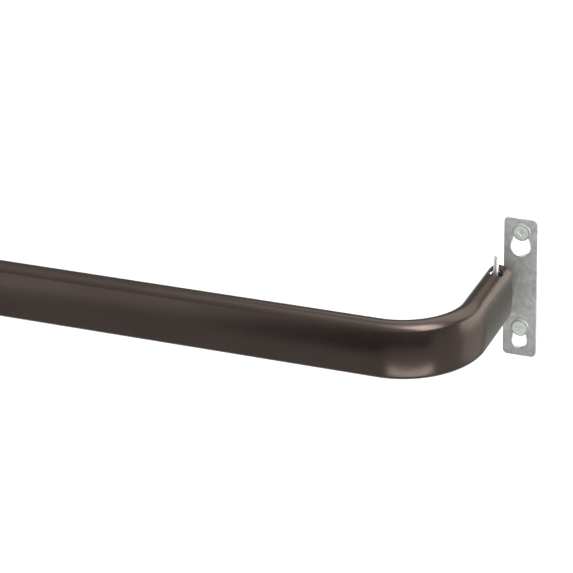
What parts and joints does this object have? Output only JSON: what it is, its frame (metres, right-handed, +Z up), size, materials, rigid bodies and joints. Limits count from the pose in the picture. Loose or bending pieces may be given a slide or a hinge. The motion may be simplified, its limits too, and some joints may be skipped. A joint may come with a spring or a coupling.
{
  "type": "wrap around curtain rod",
  "caption": "Telescoping flat-oval curtain rod whose bent ends turn back to the wall, on screwed keyhole brackets with lift-out lock pins.",
  "frame": {"origin": "on the wall face, midway between the two right-hand screws", "axes": "+X along the rod to the right-hand end, +Y into the wall, +Z up"},
  "size_m": [0.733, 0.0831, 0.0633],
  "materials": {
    "rod_paint": "satin dark bronze paint on steel",
    "zinc_plate": "dull zinc plating on stamped steel",
    "screw_zinc": "matt pale zinc plating",
    "pin_steel": "bright drawn steel wire"
  },
  "bodies": {
    "right_half": {"outer_rod": "rod_paint", "right_bracket": "zinc_plate", "right_lock_pin": "pin_steel", "right_upper_screw": "screw_zinc", "right_lower_screw": "screw_zinc"},
    "left_half": {"inner_rod": "rod_paint", "left_bracket": "zinc_plate", "left_lock_pin": "pin_steel", "left_upper_screw": "screw_zinc", "left_lower_screw": "screw_zinc"}
  },
  "joints": [
    {"name": "telescope_slide", "type": "slide", "parent": "right_half", "child": "left_half", "axis": [-1, 0, 0], "range_m": [0, 0.508]}
  ]
}
